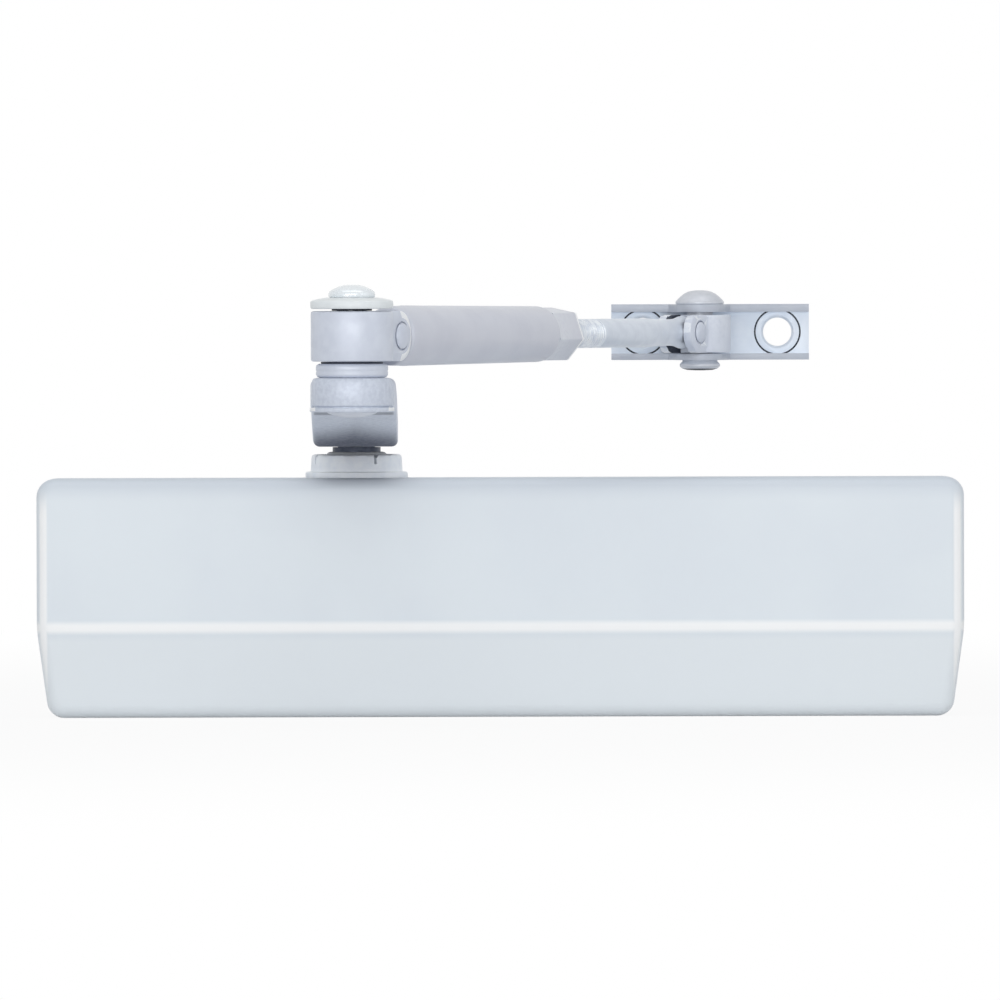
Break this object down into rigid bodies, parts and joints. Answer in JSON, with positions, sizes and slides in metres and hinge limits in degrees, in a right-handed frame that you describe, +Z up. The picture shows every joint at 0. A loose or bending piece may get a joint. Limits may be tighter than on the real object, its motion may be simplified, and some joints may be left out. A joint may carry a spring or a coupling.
{
  "type": "surface-mounted door closer",
  "caption": "Surface-mounted hydraulic door closer: slim creased cover over a rack-and-pinion body, cranked main arm, adjustable forearm and frame shoe.",
  "frame": {"origin": "middle of the four door screw holes, on the body's back face, which lies on the door", "axes": "+X along the body to the right seen from the room, +Y into the door, +Z up along the pinion"},
  "size_m": [0.25, 0.2029, 0.117],
  "materials": {
    "cover_paint": "smooth satin silver-white paint",
    "arm_paint": "silver-grey paint over cast and forged steel",
    "zinc_steel": "bright zinc plate",
    "cast_aluminium": "fine sand-like die-cast skin",
    "plain_steel": "machined steel",
    "spring_steel": "dark oiled spring steel",
    "black_rubber": "black nitrile rubber",
    "brass_valve": "turned brass",
    "pale_plastic": "pale grey plastic",
    "white_nylon": "white nylon",
    "pale_rivet": "pale painted rivet head",
    "dark_washer": "dark steel",
    "rod_steel": "painted threaded steel",
    "shoe_steel": "bluish silver paint"
  },
  "bodies": {
    "body": {"cover": "cover_paint", "cover_screws": "zinc_steel", "body_casting": "cast_aluminium", "valve_end_plug": "plain_steel", "spring_end_plug": "plain_steel", "valve_plug_seal": "black_rubber", "spring_plug_seal": "black_rubber", "upper_bearing": "plain_steel", "lower_bearing": "plain_steel", "upper_pinion_nut": "arm_paint", "lower_pinion_nut": "plain_steel", "shaft_seal": "black_rubber", "dust_ring": "pale_plastic", "closing_spring": "spring_steel"},
    "lever": {"pinion_shaft": "plain_steel", "main_arm": "arm_paint", "arm_screw": "zinc_steel", "arm_washer": "zinc_steel", "elbow_collar": "arm_paint", "elbow_rivet": "pale_rivet", "thin_washer": "dark_washer", "white_washer": "white_nylon"},
    "elbow": {"elbow_fork": "arm_paint", "elbow_cross_pin": "arm_paint"},
    "forearm": {"tube_tongue": "arm_paint", "forearm_tube": "arm_paint", "adjusting_nut": "arm_paint"},
    "rod": {"adjusting_rod": "rod_steel"},
    "shoe_pivot": {"shoe_fork": "arm_paint", "shoe_cross_pin": "arm_paint"},
    "shoe": {"shoe_bracket": "shoe_steel", "shoe_rivet": "arm_paint"},
    "piston": {"piston": "plain_steel", "check_ball": "plain_steel", "check_ball_ring": "plain_steel"},
    "closing_valve": {"closing_speed_valve": "brass_valve"},
    "latch_valve": {"latch_speed_valve": "brass_valve"}
  },
  "joints": [
    {"name": "pinion_turn", "type": "hinge", "parent": "body", "child": "lever", "pos_m": [-0.0388, -0.022, 0.045], "axis": [0, 0, 1], "range_deg": [0, 170], "stiffness_Nm_per_rad": 3, "springref_deg": -17.19},
    {"name": "piston_slide", "type": "slide", "parent": "body", "child": "piston", "axis": [1, 0, 0], "range_m": [0, 0.02495], "deforming": ["closing_spring"]},
    {"name": "elbow_swivel", "type": "hinge", "parent": "lever", "child": "elbow", "pos_m": [-0.0388, -0.192, 0.0712], "axis": [0, 0, 1], "range_deg": [-150, 45]},
    {"name": "forearm_tilt", "type": "hinge", "parent": "elbow", "child": "forearm", "pos_m": [-0.03273, -0.18039, 0.0712], "axis": [0.8863, -0.4631, 0], "range_deg": [-6, 6]},
    {"name": "forearm_length", "type": "slide", "parent": "forearm", "child": "rod", "axis": [0.4631, 0.8863, 0], "range_m": [-0.012, 0.012]},
    {"name": "shoe_tilt", "type": "hinge", "parent": "rod", "child": "shoe_pivot", "pos_m": [0.04934, -0.02331, 0.0712], "axis": [0.8863, -0.4631, 0], "range_deg": [-5, 5]},
    {"name": "shoe_swivel", "type": "hinge", "parent": "shoe_pivot", "child": "shoe", "pos_m": [0.0542, -0.014, 0.0712], "axis": [0, 0, 1], "range_deg": [-90, 35]},
    {"name": "closing_valve_turn", "type": "hinge", "parent": "body", "child": "closing_valve", "pos_m": [-0.0964, -0.0055, 0.0165], "axis": [1, 0, 0], "range_deg": [0, 360]},
    {"name": "latch_valve_turn", "type": "hinge", "parent": "body", "child": "latch_valve", "pos_m": [-0.0964, -0.0055, -0.0165], "axis": [1, 0, 0], "range_deg": [0, 360]}
  ],
  "couplings": [
    {"joint": "piston_slide", "follows": "pinion_turn", "m_per_rad": 0.0084}
  ]
}
